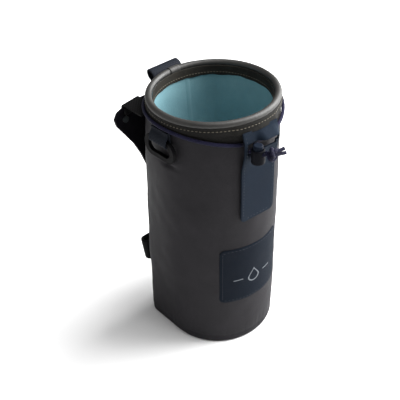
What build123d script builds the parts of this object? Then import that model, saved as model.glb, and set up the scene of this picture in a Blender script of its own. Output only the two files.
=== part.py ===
from build123d import *
from math import asin, atan, cos, degrees, pi, radians, sin, tan
import os

# An insulated, round-mouthed bottle pouch with a stiff back plate, webbing loops,
# side rings and a draw cord with a barrel lock.  Millimetres, +Z up, front towards -Y,
# origin on the floor under the centre of the mouth.

# ---- driving dimensions -------------------------------------------------------------
height = 209.5             # floor to the crest of the rim roll
mouth_radius = 47.5        # outside of the rim roll
roll_radius = 2.5          # section of the padded roll
hoop_radius = 1.1          # stiff round cord inside the roll
roll_overhang = 0.8        # how far the roll stands outside the shell
roll_seat = 0.9            # height of the flat seat above the roll's lowest point

base_half_width = 45.0     # half of the D-shaped base, and the radius of its round front
base_front_shift = 2.6     # the round front's centre lies this far behind the mouth's axis
base_back = 40.6           # flat back of the base, measured from the mouth's axis
base_corner = 9.0          # back corners of the base
base_tray = 6.0            # height of the sewn base tray
base_edge = 2.2            # rounded lower edge of the tray

shell_wall = 1.2           # coated outer fabric
foam_wall = 2.4            # insulation in the wall
lining_wall_thickness = 0.8
stiffener_thickness = 1.5
tape_thickness = 0.8       # collar band outside
facing_thickness = 0.6     # facing tape inside
collar_height = 10.9
facing_height = 7.4

panel_width = 30.0
panel_top = height - 9.0
panel_bottom = height - 84.0
panel_thickness = 1.2
panel_corner = 4.0
panel_turn = -3.5          # degrees round from the centre line
slit_width = 25.0
slit_height = 8.0
slit_corner = 1.5
slit_level = height - 21.0
panel_settle = 20.0        # below the cord the strip is back on the wall this far down

label_turn = -5.7
label_width = 50.0
label_bottom = 46.0
label_top = 100.0
label_corner = 4.0
label_thickness = 1.2

cord_diameter = 2.5
cord_side_level = height - 9.3  # draw cord over the side rings
cord_front_level = height - 19.5  # draw cord at the front, where it dips to the slit
cord_rear_level = height - 10.9  # draw cord behind, where it passes under the top loop
cord_swell = 0.5           # the wall's back corners stand this far outside a circle
cord_points = 14
cord_front_pull = 8        # how sharply the cord draws in towards the slit
cord_bend_share = 0.45     # share of each straight run that a bend takes up

lock_radius = 4.7
lock_height = 10.5
lock_wall = 1.1
lock_base_level = height - 30.0
lock_hole_level = height - 22.3  # axis of the cross hole that the cord passes through
lock_offset = -7.9         # lock axis, sideways from the panel's centre line
lock_turn = 25.0           # the cords leave the lock this far round from straight ahead
plunger_gap = 0.15
plunger_proud = 3.2
plunger_travel = 2.2
plunger_floor = 1.4        # between the spring and the cross hole
lock_edge = 0.8            # rounding of the barrel
button_edge = 1.0          # rounding of the button
spring_gap = 0.4           # between the spring and the bore
spring_wire = 0.5
knot_size = 4.6
knot_gap = 1.0             # from the lock to the knot
knot_rise = 1.5            # the knot sits this far above the lock's cross hole
tail_length = 9.5          # from the knot's middle to the cut ends
tail_turn = 52.0           # the tails leave the knot to the side
tail_spread = 11.0

ring_width = 31.0
ring_height = 16.4
ring_thickness = 2.6
ring_side = 4.4
ring_foot = 3.9
ring_bar_radius = 1.5
ring_level = height - 19.8  # axis of the ring's bar
ring_corner = 7.5
ring_hole_corner = 4.4
ring_crown = 0.5           # the flat ring stands this far above its bar
ring_edge = 0.3            # rounding of the flat ring's outline
bar_root = 0.6             # the tab's notch is this much taller than the bar, each way
bar_seat = 0.5             # the bar runs this far into the flat ring, each end
tab_width = 17.0
tab_webbing = 1.3
tab_drop = 8.3             # sewn part of the tab, above the bar
bar_clearance = 0.3
side_clearance = 0.5

plate_thickness = 2.0
plate_top = height - 16.0
plate_bottom = 24.0
plate_waist = 24.0         # half width of the plate's spine
ear_reach = 52.5           # half width over the ears
waist_spread = 1.5         # the spine widens this much up to the ears' root
waist_end = 10.0           # and ends this far below the root
ear_root = (29.3, height - 71.5)   # half width and level, going up the ear's edge
ear_rise = [
    (33.2, height - 60.0),
    (37.9, height - 49.6),
    (44.6, height - 39.0),
    (51.3, height - 28.8),
]
ear_tip_level = height - 23.0
ear_shoulder = (49.5, height - 18.5)
ear_notch = 42.8           # half width of the raised part between the ears
plate_crown = 1.5          # how far the raised part stands above the ears
crown_inset = 12.0         # the rise to the crown takes this much width
plate_corner = 3.0
rivet_radius = 2.6
rivet_head = 1.0
rivet_x = 43.5
rivet_level = height - 25.2

ear_strap_width = 14.0
ear_strap_x = 36.5
ear_strap_thickness = 1.5
ear_strap_arm = 24.0        # long enough to meet the round wall
ear_slot_level = height - 20.5
ear_slot_height = 3.0
ear_slot_spare = 0.8       # room beside the strap, each side

top_loop_width = 26.5
top_loop_depth = 9.8
top_loop_height = 8.6
webbing = 1.6
top_loop_foot = height - 41.5  # lower end of the sewn part

lower_loop_width = 82.0
lower_loop_depth = 8.8
lower_loop_bottom = 45.5
lower_loop_height = 20.0

loop_flat = 0.3            # flat part of the top loop's short sides
touch = 0.05               # gap between pieces laid on one another
smallest_corner = 1.0

# ---- worked out ---------------------------------------------------------------------
shell_radius = mouth_radius - roll_overhang
roll_level = height - roll_radius
shell_top = roll_level - roll_radius + roll_seat
roll_centre_radius = mouth_radius - roll_radius
foam_inset = shell_wall
lining_inset = foam_inset + foam_wall
inner_inset = lining_inset + lining_wall_thickness
cord_radius = cord_diameter / 2
cord_ring = shell_radius + tape_thickness + cord_radius + 2 * touch
cord_clear = cord_ring + cord_swell + cord_radius + 4 * touch
plate_slope = (shell_radius - base_back) / (shell_top - base_tray)
plate_angle = degrees(atan(plate_slope))


def wall_front(level):
    """Distance of the wall's front line from the mouth's axis at a level."""
    low = base_half_width - base_front_shift
    return low + (shell_radius - low) * (level - base_tray) / (shell_top - base_tray)


cord_front_ring = wall_front(cord_front_level) + cord_radius + 2 * touch


def on_circle(radius, angle):
    """Point at an angle counted from +X towards +Y."""
    return (radius * cos(radians(angle)), radius * sin(radians(angle)))


# ---- wall sections ------------------------------------------------------------------
def base_section(inset):
    """D-shaped section: round front, straight sides, flat back with round corners."""
    half = base_half_width - inset
    back = base_back - inset
    corner = max(base_corner - inset, smallest_corner)
    arc = corner * (1 - cos(pi / 4))
    front_y = base_front_shift
    return [
        ThreePointArc((-half, front_y), (0, front_y - half), (half, front_y)),
        Line((half, front_y), (half, back - corner)),
        ThreePointArc((half, back - corner), (half - arc, back - arc), (half - corner, back)),
        Line((half - corner, back), (corner - half, back)),
        ThreePointArc((corner - half, back), (arc - half, back - arc), (-half, back - corner)),
        Line((-half, back - corner), (-half, front_y)),
    ]


def mouth_section(inset):
    """The round mouth, cut at the same six places as the D-shaped base."""
    radius = shell_radius - inset
    stops = [180, 360, 400, 410, 490, 500, 540]
    return [
        ThreePointArc(on_circle(radius, a), on_circle(radius, (a + b) / 2), on_circle(radius, b))
        for a, b in zip(stops, stops[1:])
    ]


def body_form(inset, low=base_tray, high=shell_top):
    """Solid of the pouch's wall surface, drawn in by an inset, between two levels."""
    base = Plane.XY.offset(base_tray) * make_face(Wire(base_section(inset)))
    mouth = Plane.XY.offset(shell_top) * make_face(Wire(mouth_section(inset)))
    form = loft([base.face(), mouth.face()], ruled=True)
    if low > base_tray or high < shell_top:
        form = form & slab(low, high)
    return form


def slab(low, high):
    size = 4 * mouth_radius
    return Pos(0, 0, (low + high) / 2) * Box(size, size, high - low)


def base_block(inset, low, high):
    return extrude(Plane.XY.offset(low) * make_face(Wire(base_section(inset))), high - low)


def wall_side(level):
    low = base_half_width
    return low + (shell_radius - low) * (level - base_tray) / (shell_top - base_tray)


def wall_back(level):
    return base_back + plate_slope * (level - base_tray)


# ---- pouch --------------------------------------------------------------------------
def outer_shell():
    return body_form(0) - body_form(foam_inset)


def insulation_wall():
    return body_form(foam_inset) - body_form(lining_inset)


def lining_wall():
    return body_form(lining_inset) - body_form(inner_inset)


def inner_facing():
    low = shell_top - facing_height
    return body_form(inner_inset, low) - body_form(inner_inset + facing_thickness, low)


def collar_band():
    low = shell_top - collar_height
    return body_form(-tape_thickness, low) - body_form(0, low)


def base_panel():
    tray = base_block(0, 0, base_tray)
    tray = fillet(tray.faces().sort_by(Axis.Z)[0].edges(), base_edge)
    inner = base_block(foam_inset, shell_wall, base_tray)
    rounded = fillet(inner.faces().sort_by(Axis.Z)[0].edges(), base_edge - shell_wall)
    return tray - rounded


def base_filling():
    """Everything inside the tray, with the tray's rounded lower edge."""
    block = base_block(foam_inset, shell_wall, base_tray)
    return fillet(block.faces().sort_by(Axis.Z)[0].edges(), base_edge - shell_wall)


def base_stiffener():
    return base_filling() & slab(0, shell_wall + stiffener_thickness)


def base_insulation():
    return base_filling() & slab(shell_wall + stiffener_thickness, base_tray)


def lining_floor():
    top = base_tray + lining_wall_thickness
    return body_form(inner_inset, base_tray, top)


def roll_ring(section_radius):
    return Pos(0, 0, roll_level) * Torus(roll_centre_radius, section_radius)


def rim_binding():
    seat = slab(shell_top, height + roll_radius)
    return (roll_ring(roll_radius) & seat) - roll_ring(hoop_radius)


def rim_hoop():
    return roll_ring(hoop_radius)


# ---- front --------------------------------------------------------------------------
def side_profile(points):
    """Face in the YZ plane from (distance in front of the axis, level) points."""
    return make_face(Polyline([(0, -out, level) for out, level in points], close=True))


def panel_back_line():
    """The strip's inner line: under the rim, out over the cord, then down the wall."""
    front_clear = cord_front_ring + cord_radius + 4 * touch
    over_band = shell_radius + tape_thickness + touch
    settled = cord_front_level - panel_settle
    return [
        (over_band, panel_top),
        (front_clear, cord_front_level + 2 * cord_diameter),
        (front_clear, cord_front_level - 2 * cord_diameter),
        (wall_front(settled) + touch, settled),
        (wall_front(panel_bottom) + touch, panel_bottom),
    ]


def panel_surface_out(level):
    """How far out the strip's front face lies at a level."""
    line = panel_back_line()
    for (out_a, high), (out_b, low) in zip(line, line[1:]):
        if low <= level <= high:
            share = (high - level) / (high - low)
            return out_a + (out_b - out_a) * share + panel_thickness
    return line[-1][0] + panel_thickness


def front_panel():
    inner = panel_back_line()
    outer = [(out + panel_thickness, level) for out, level in reversed(inner)]
    strip = extrude(side_profile(inner + outer), panel_width / 2, dir=(1, 0, 0), both=True)
    middle = (panel_top + panel_bottom) / 2
    outline = RectangleRounded(panel_width, panel_top - panel_bottom + 2 * panel_corner, panel_corner)
    through = Plane.XZ.offset(mouth_radius - 20) * Pos(0, middle + panel_corner) * outline
    strip = strip & extrude(through, 40)
    slit = RectangleRounded(slit_width, slit_height, slit_corner)
    strip -= extrude(Plane.XZ.offset(mouth_radius - 20) * Pos(0, slit_level) * slit, 40)
    return Rot(0, 0, panel_turn) * strip


def label_patch():
    ring = body_form(-label_thickness - touch, label_bottom - 5, label_top + 5)
    ring -= body_form(-touch, label_bottom - 5, label_top + 5)
    outline = RectangleRounded(label_width, label_top - label_bottom, label_corner)
    middle = (label_bottom + label_top) / 2
    window = extrude(Plane.XZ * Pos(0, middle) * outline, 2 * mouth_radius)
    return ring & (Rot(0, 0, label_turn) * window)


# ---- draw cord and its lock ---------------------------------------------------------
lock_out = panel_surface_out(slit_level) + lock_radius + 2 * touch
bore_radius = lock_radius - lock_wall
plunger_radius = bore_radius - plunger_gap
lock_place = Rot(0, 0, panel_turn) * Pos(lock_offset, -lock_out, 0) * Rot(0, 0, lock_turn)
strand_gap = cord_diameter / 2 + touch
hole_height = cord_diameter + 2 * touch
hole_width = 2 * cord_diameter + 4 * touch
strand_start = lock_radius + panel_thickness
strand_end = lock_radius + knot_gap
knot_place = lock_place * Pos(0, -(strand_end + knot_size), lock_hole_level + knot_rise)
spring_floor = lock_base_level + lock_wall
spring_top = lock_hole_level - cord_radius - touch - plunger_floor


def cord_reach(angle):
    """Distance of the cord from the mouth's axis: close to the wall in front, wider behind."""
    forward = max(0.0, -sin(radians(angle)))
    behind = max(0.0, sin(radians(angle)))
    pull = (cord_front_ring - cord_ring) * forward ** cord_front_pull
    return cord_ring + cord_swell * min(1.0, 2 * behind) + pull


def cord_level(angle):
    """Cord height round the pouch: level behind the rings, dipping to the front."""
    forward = -sin(radians(angle))
    end = cord_front_level if forward > 0 else cord_rear_level
    return cord_side_level + (end - cord_side_level) * forward ** 2


def draw_cord():
    """The loop, from one side of the slit round the back to the other side."""
    beside = 2 * (cord_radius + touch)
    start = -90 + panel_turn + degrees(asin((lock_offset + beside) / cord_ring))
    end = 270 + panel_turn + degrees(asin((lock_offset - beside) / cord_ring))
    step = (end - start) / cord_points
    swell = 1 / cos(radians(step / 2))
    inner = [start + (i + 0.5) * step for i in range(cord_points)]
    points = [(*on_circle(cord_reach(start), start), cord_level(start))]
    points += [(*on_circle(swell * cord_reach(a), a), cord_level(a)) for a in inner]
    points += [(*on_circle(cord_reach(end), end), cord_level(end))]
    run = 2 * cord_ring * tan(radians(step / 2))
    bend = cord_bend_share * run / tan(radians(step / 2))
    path = FilletPolyline(*points, radius=bend)
    return sweep(Plane(origin=path @ 0, z_dir=path % 0) * Circle(cord_radius), path=path)


def strand_tube(side, low, high):
    level = lock_hole_level
    place = lock_place * Pos(side * strand_gap, 0, level) * Rot(90, 0, 0)
    return place * Pos(0, 0, (low + high) / 2) * Cylinder(cord_radius, high - low)


def cord_strands():
    return [strand_tube(side, -strand_start, strand_end) for side in (-1, 1)]


def cord_knot():
    return knot_place * Sphere(knot_size)


def cord_tails():
    tails = []
    for side in (-1, 1):
        tube = Rot(90, 0, 0) * Pos(0, 0, tail_length / 2) * Cylinder(cord_radius, tail_length)
        tube = Rot(side * tail_spread, 0, 0) * tube
        tube = knot_place * Rot(0, 0, tail_turn) * Pos(0, 0, -side * strand_gap) * tube
        tails.append(tube - cord_knot())
    return tails


def cross_hole(height, level):
    size = Box(hole_width, 6 * lock_radius, height)
    return lock_place * Pos(0, 0, level) * size


def barrel(radius, low, high):
    return lock_place * Pos(0, 0, (low + high) / 2) * Cylinder(radius, high - low)


def cord_lock_body():
    top = lock_base_level + lock_height
    body = fillet(barrel(lock_radius, lock_base_level, top).edges(), lock_edge)
    body -= barrel(bore_radius, spring_floor, top + 1)
    return body - cross_hole(hole_height, lock_hole_level)


def cord_lock_plunger():
    """Its hole is longer than the cords are thick by the travel, so it can be pressed."""
    top = lock_base_level + lock_height + plunger_proud
    body = barrel(plunger_radius, spring_top, top)
    body = fillet(body.edges().sort_by(Axis.Z)[-1], button_edge)
    slot = hole_height + plunger_travel
    return body - cross_hole(slot, lock_hole_level + plunger_travel / 2)


def cord_lock_spring():
    outer = plunger_radius - spring_gap
    tube = barrel(outer, spring_floor, spring_top)
    return tube - barrel(outer - spring_wire, spring_floor, spring_top)


# ---- side rings ---------------------------------------------------------------------
tab_outer = ring_bar_radius + bar_clearance + tab_webbing
ring_out = wall_side(ring_level) + tab_outer + touch


def side_ring(side):
    """Flat moulded D with a round bar; it hangs from the bar."""
    top = ring_bar_radius + ring_crown
    middle = top - ring_height / 2
    outline = RectangleRounded(ring_width, ring_height, ring_corner)
    hole_top = -ring_bar_radius
    hole_low = top - ring_height + ring_foot
    hole = RectangleRounded(ring_width - 2 * ring_side, hole_top - hole_low, ring_hole_corner)
    sheet = Pos(0, middle) * outline - Pos(0, (hole_top + hole_low) / 2) * hole
    flat = extrude(Plane.YZ * sheet, ring_thickness / 2, both=True)
    gap = tab_width + 2 * side_clearance
    flat -= Box(2 * ring_thickness, gap, 2 * (ring_bar_radius + bar_root))
    bar = Rot(90, 0, 0) * Cylinder(ring_bar_radius, gap + 2 * bar_seat)
    ring = fillet(flat.edges().filter_by(GeomType.CIRCLE).group_by(Axis.X)[0], ring_edge)
    ring = ring + bar
    return Pos(side * ring_out, 0, ring_level) * ring


def side_tab(side):
    """Webbing folded round the bar and sewn to the wall above it."""
    sleeve = Rot(90, 0, 0) * Cylinder(tab_outer, tab_width)
    sleeve -= Rot(90, 0, 0) * Cylinder(ring_bar_radius + bar_clearance, tab_width + 1)
    foot = Box(2 * tab_webbing, tab_width, tab_drop)
    foot = Pos(-side * (tab_outer - tab_webbing), 0, tab_drop / 2) * foot
    foot -= Rot(90, 0, 0) * Cylinder(ring_bar_radius + bar_clearance, tab_width + 1)
    tab = Pos(side * ring_out, 0, ring_level) * (sleeve + foot)
    return tab - body_form(-tape_thickness - touch)


# ---- back ---------------------------------------------------------------------------
plate_face = Pos(0, base_back + tape_thickness + 2 * touch, base_tray) * Rot(-plate_angle, 0, 0)


def on_back(level):
    """Height along the leaning plate for a level above the floor."""
    return level - base_tray


def back_plate():
    """Stiff sheet: a spine with two rounded ears near the mouth, slotted and riveted."""
    half = [
        (plate_waist, plate_bottom),
        (plate_waist + waist_spread, ear_root[1] - waist_end),
        ear_root,
        *ear_rise,
        (ear_reach, ear_tip_level),
        ear_shoulder,
        (ear_notch, plate_top),
        (ear_notch - crown_inset, plate_top + plate_crown),
    ]
    half = [(x, on_back(level)) for x, level in half]
    outline = half + [(-x, z) for x, z in reversed(half)]
    sheet = make_face(Polyline(outline, close=True))
    edge = ear_root[0] - plate_corner / 10
    ears = [v for v in sheet.vertices() if abs(v.X) > edge and v.Y >= on_back(ear_root[1])]
    sheet = fillet(ears, plate_corner)
    plate = extrude(Plane.XZ * sheet, -plate_thickness)
    ear_slot_width = ear_strap_width + 2 * ear_slot_spare
    for side in (-1, 1):
        slot = Box(ear_slot_width, 4 * plate_thickness, ear_slot_height)
        plate -= Pos(side * ear_strap_x, plate_thickness / 2, on_back(ear_slot_level)) * slot
        hole = Rot(90, 0, 0) * Cylinder(rivet_radius / 2, 4 * plate_thickness)
        plate -= Pos(side * rivet_x, plate_thickness / 2, on_back(rivet_level)) * hole
    return plate_face * plate


def ear_rivets():
    rivets = []
    for side in (-1, 1):
        length = plate_thickness + 2 * rivet_head
        shank = Rot(90, 0, 0) * Cylinder(rivet_radius / 2, length)
        head = Rot(90, 0, 0) * Cylinder(rivet_radius, rivet_head)
        half = plate_thickness / 2 + rivet_head / 2
        rivet = shank + Pos(0, half, 0) * head + Pos(0, -half, 0) * head
        place = Pos(side * rivet_x, plate_thickness / 2, on_back(rivet_level))
        rivets.append(plate_face * place * rivet)
    return rivets


def ear_strap(side):
    """Webbing from the wall over the plate's top edge, down its back and through the slot."""
    t = ear_strap_thickness
    top = on_back(plate_top + plate_crown) + touch
    low = on_back(ear_slot_level) - ear_slot_height / 2 + touch
    back = plate_thickness + touch
    wrap = Rectangle(back + touch + 2 * t, top + t - low, align=(Align.MIN, Align.MIN))
    bar = Rectangle(back + touch, top - low - t, align=(Align.MIN, Align.MIN))
    arm = Rectangle(ear_strap_arm, t, align=(Align.MAX, Align.MIN))
    band = Pos(-touch - t, low) * wrap + Pos(0, top) * arm - Pos(-touch, low + t) * bar
    strap = extrude(Plane.YZ * band, ear_strap_width / 2, both=True)
    strap = plate_face * (Pos(side * ear_strap_x, 0, 0) * strap)
    return strap - body_form(-tape_thickness - touch)


def top_loop():
    """Open loop behind the roll, on a sewn foot that runs over the cord and down the plate."""
    centre_y = wall_back(roll_level) + roll_overhang + 2 * touch + top_loop_depth / 2
    centre_z = height - top_loop_height / 2
    corner = top_loop_height / 2 - loop_flat
    ring = RectangleRounded(top_loop_depth, top_loop_height, corner)
    hole_size = (top_loop_depth - 2 * webbing, top_loop_height - 2 * webbing)
    hole = RectangleRounded(*hole_size, corner - webbing)
    plate_out = tape_thickness + 2 * touch + plate_thickness + touch
    rise = height - top_loop_height
    inner = [
        (wall_back(top_loop_foot) + plate_out, top_loop_foot),
        (wall_back(plate_top) + plate_out, plate_top),
        (cord_clear, cord_rear_level - cord_diameter),
        (cord_clear, rise + webbing / 2),
    ]
    outer = [(y + webbing, z) for y, z in reversed(inner)]
    foot = make_face(Polyline(inner + outer, close=True))
    section = Plane.YZ * (Pos(centre_y, centre_z) * (ring - hole) + foot)
    return extrude(section, top_loop_width / 2, both=True)


def lower_loop():
    """Flattened webbing loop across the back, sewn to the plate in the middle."""
    ring = SlotOverall(lower_loop_width, lower_loop_depth)
    hole = SlotOverall(lower_loop_width - 2 * webbing, lower_loop_depth - 2 * webbing)
    band = extrude(ring - hole, lower_loop_height)
    centre = plate_thickness + touch + lower_loop_depth / 2
    return plate_face * Pos(0, centre, on_back(lower_loop_bottom)) * band


# ---- export -------------------------------------------------------------------------
def solids_of(shape):
    if isinstance(shape, (list, tuple)):
        found = [solid for piece in shape for solid in piece.solids()]
    else:
        found = shape.solids()
    return found[0] if len(found) == 1 else Compound(children=list(found))


nodes = {
    "outer_shell": outer_shell(),
    "insulation_wall": insulation_wall(),
    "lining_wall": lining_wall(),
    "inner_facing": inner_facing(),
    "collar_band": collar_band(),
    "rim_binding": rim_binding(),
    "rim_hoop": rim_hoop(),
    "base_panel": base_panel(),
    "base_stiffener": base_stiffener(),
    "base_insulation": base_insulation(),
    "lining_floor": lining_floor(),
    "front_panel": front_panel(),
    "label_patch": label_patch(),
    "draw_cord": draw_cord(),
    "cord_strands": cord_strands(),
    "cord_knot": cord_knot(),
    "cord_tails": cord_tails(),
    "cord_lock_body": cord_lock_body(),
    "cord_lock_plunger": cord_lock_plunger(),
    "cord_lock_spring": cord_lock_spring(),
    "back_plate": back_plate(),
    "ear_rivets": ear_rivets(),
    "top_loop": top_loop(),
    "lower_loop": lower_loop(),
}
for name, side in (("left", -1), ("right", 1)):
    nodes["side_tab_" + name] = side_tab(side)
    nodes["side_ring_" + name] = side_ring(side)
    nodes["ear_strap_" + name] = ear_strap(side)

os.makedirs("parts", exist_ok=True)
for name, shape in nodes.items():
    export_step(solids_of(shape), "parts/" + name + ".step")
print(len(nodes), "nodes written")
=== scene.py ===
# %% [markdown]
# # A round insulated bottle pouch
# The real pouch is a tube of coated cloth with foam behind it, a padded roll sewn round
# its mouth, a pale blue lining, a stiff plate and webbing loops behind, and a draw cord
# with a push-button lock in front. Its hard parts and its sizes are already fixed in a
# CAD model. Here we load that model, keep its plastic and metal parts, and make every
# soft part again as cloth, with finishes for all of them.

from math import asin, atan2, cos, degrees, exp, pi, radians, sin

import bmesh
import bpy
from mathutils import Euler, Matrix, Vector, noise


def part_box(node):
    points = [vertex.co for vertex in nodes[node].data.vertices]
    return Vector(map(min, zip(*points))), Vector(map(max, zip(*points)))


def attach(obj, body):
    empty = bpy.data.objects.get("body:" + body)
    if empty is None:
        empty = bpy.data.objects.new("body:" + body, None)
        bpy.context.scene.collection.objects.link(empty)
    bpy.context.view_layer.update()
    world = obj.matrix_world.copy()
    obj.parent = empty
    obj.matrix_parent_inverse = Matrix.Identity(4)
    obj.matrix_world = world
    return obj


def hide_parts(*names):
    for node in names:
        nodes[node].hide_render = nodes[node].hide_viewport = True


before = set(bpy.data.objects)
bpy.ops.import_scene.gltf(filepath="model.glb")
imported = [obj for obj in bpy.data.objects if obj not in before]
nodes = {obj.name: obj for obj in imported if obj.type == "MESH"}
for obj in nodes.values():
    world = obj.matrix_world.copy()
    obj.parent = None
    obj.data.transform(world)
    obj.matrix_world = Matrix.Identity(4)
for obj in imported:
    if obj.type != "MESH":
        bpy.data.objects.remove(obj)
scene = bpy.context.scene
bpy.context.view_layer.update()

# %% [markdown]
# ## The camera
# We set the camera first, so that each piece can be looked at as it is made. It stands
# to the left of the front and looks down into the mouth. A lens a little longer than a
# normal one, used from further off, keeps the tube's sides nearly parallel.

# %% Camera
camera_data = bpy.data.cameras.new("camera")
camera_data.sensor_width = 36.0
camera_data.lens = 64.8
camera_data.clip_start = 0.01
camera = bpy.data.objects.new("camera", camera_data)
camera.location = (-0.29479, -0.32890, 0.44886)
camera.rotation_euler = Euler((radians(52.754), radians(2.294), radians(-41.938)))
scene.collection.objects.link(camera)
scene.camera = camera
print("camera distance", round(camera.location.length, 3), "m")

# %% [markdown]
# ## The sizes that the cloth follows
# The cloth has to lie where the CAD solids are, so we repeat the few sizes that shape
# the wall. The mouth is a circle. The base is shaped like a D: a round front, straight
# sides and a flat back. All lengths are in metres. The two ends are turns from the front
# in degrees: where the D's straight side stops and where its rounded corner stops.

# %% Sizes
mm = 0.001
rim_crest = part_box("rim_binding")[1].z
roll_radius = 2.5 * mm
roll_level = rim_crest - roll_radius
roll_ring = 45.0 * mm
shell_radius = 46.7 * mm
shell_top = 205.4 * mm
tray_top = 6.0 * mm
base_half = 45.0 * mm
base_shift = 2.6 * mm
base_back = 40.6 * mm
base_corner = 9.0 * mm
side_end = 130
corner_end = 140
lining_inset = 4.4 * mm
columns_round = 216
print("the rim's crest is at", round(rim_crest / mm, 1), "mm")

# %% [markdown]
# ## One function that places cloth on the wall
# A point on the pouch's wall has two numbers: how far it is turned round from the front,
# in degrees, and its level above the floor. `wall_point` finds that place on the D and
# on the circle and mixes the two by the level, which is what a ruled surface does. A
# third number moves the point outwards from the wall.


# %% Points on the wall
def base_point(turn, out=0.0):
    """The place on the D-shaped base that a turn from the front falls on."""
    half = base_half + out
    back = base_back + out
    corner = max(base_corner + out, 1.0 * mm)
    side = 1 if turn >= 0 else -1
    turn = abs(turn)
    if turn <= 90:
        x, y = half * sin(radians(turn)), base_shift - half * cos(radians(turn))
    elif turn <= side_end:
        share = (turn - 90) / (side_end - 90)
        x, y = half, base_shift + (back - corner - base_shift) * share
    elif turn <= corner_end:
        angle = pi / 2 * (turn - side_end) / (corner_end - side_end)
        x, y = half - corner + corner * cos(angle), back - corner + corner * sin(angle)
    else:
        x, y = (half - corner) * (180 - turn) / (180 - corner_end), back
    return Vector((side * x, y, 0.0))


def wall_point(turn, level, out=0.0):
    """A point on the wall, moved outwards by out."""
    radius = shell_radius + out
    mouth = Vector((radius * sin(radians(turn)), -radius * cos(radians(turn)), 0.0))
    share = max(0.0, (level - tray_top) / (shell_top - tray_top))
    point = base_point(turn, out).lerp(mouth, share)
    point.z = level
    return point


def wall_front(level):
    """How far the wall's front line is from the mouth's axis."""
    return -wall_point(0, level).y


def wall_back(level):
    return wall_point(180, level).y


print("the wall's front at mid height is", round(wall_front(0.1) / mm, 1), "mm out")

# %% [markdown]
# ## Flat cloth first, then its shape
# Sewn goods are cut flat and then bent, and we work the same way. `cut_cloth` makes a
# flat grid with a bmesh operator. `lay_uv` writes its flat coordinates, in metres, into
# a UV map, so a weave keeps its true size after bending. `bend` then moves each vertex
# to where a function puts it. Modifiers add the thickness and soften the cut edges.


# %% Cloth helpers
def cut_cloth(width, low, high, across, up):
    """A flat grid centred on x = 0, from low to high in y."""
    bm = bmesh.new()
    bmesh.ops.create_grid(bm, x_segments=across, y_segments=up, size=0.5)
    bmesh.ops.scale(bm, vec=(width, high - low, 1), verts=bm.verts)
    bmesh.ops.translate(bm, vec=(0, (low + high) / 2, 0), verts=bm.verts)
    return bm


def lay_uv(bm):
    layer = bm.loops.layers.uv.verify()
    for face in bm.faces:
        for loop in face.loops:
            loop[layer].uv = loop.vert.co.xy


def bend(bm, place):
    """Lays the UV map, then moves every vertex of the flat cloth to its place."""
    lay_uv(bm)
    for vert in bm.verts:
        vert.co = place(vert.co.x, vert.co.y)
    bmesh.ops.remove_doubles(bm, verts=bm.verts, dist=0.00001)


def add_wall(piece, thickness, offset, edge=0.3 * mm):
    """Gives a cloth its thickness and rounds its cut edges."""
    solidify = piece.modifiers.new("thickness", "SOLIDIFY")
    solidify.thickness = thickness
    solidify.offset = offset
    soften = piece.modifiers.new("soft_edges", "BEVEL")
    soften.width = edge
    soften.segments = 2
    soften.limit_method = "ANGLE"
    soften.angle_limit = radians(50)


def make_piece(name, bm, material, slot, stands_for=()):
    """Turns a bmesh into an object that rides on the pouch's body."""
    mesh = bpy.data.meshes.new(name)
    bm.to_mesh(mesh)
    bm.free()
    mesh.shade_smooth()
    mesh.materials.append(material)
    piece = bpy.data.objects.new(name, mesh)
    scene.collection.objects.link(piece)
    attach(piece, "pouch")
    if stands_for:
        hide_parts(*stands_for)
    print(name, "has", len(mesh.polygons), "faces")
    return piece


# %% [markdown]
# ## Effects that several finishes share
# Weave, mottling and fine grain turn up on many surfaces, so each is a shader node group
# that is built once. A group takes the coordinates and a few numbers and gives back a
# height or a mask; the Principled shader stays in each material. The helper below keeps
# the wiring short: it adds a node, sets its plain values and links what it is given.


# %% Node helpers
def add_node(tree, kind, values=(), links=(), **settings):
    """Adds a node, sets values on inputs and links (input, output) pairs."""
    node = tree.nodes.new(kind)
    for key, value in settings.items():
        setattr(node, key, value)
    for key, value in dict(values).items():
        node.inputs[key].default_value = value
    for key, socket in dict(links).items():
        tree.links.new(socket, node.inputs[key])
    return node


def start_group(name, inputs, outputs):
    """A new node group with named sockets."""
    tree = bpy.data.node_groups.new(name, "ShaderNodeTree")
    for label, kind, value in inputs:
        socket = tree.interface.new_socket(label, in_out="INPUT", socket_type=kind)
        if value is not None:
            socket.default_value = value
    for label, kind in outputs:
        tree.interface.new_socket(label, in_out="OUTPUT", socket_type=kind)
    return tree, tree.nodes.new("NodeGroupInput"), tree.nodes.new("NodeGroupOutput")


def math_node(tree, operation, *values):
    """A Math node; each value is a number or another node's output."""
    node = add_node(tree, "ShaderNodeMath", operation=operation)
    for socket, value in zip(node.inputs, values):
        if isinstance(value, (int, float)):
            socket.default_value = value
        else:
            tree.links.new(value, socket)
    return node.outputs[0]


# %% [markdown]
# A plain weave is threads going over and under each other. Along each direction the
# cloth rises and falls like a sine wave, and a checker pattern says which thread is on
# top. The group takes the number of threads in a metre.

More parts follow.
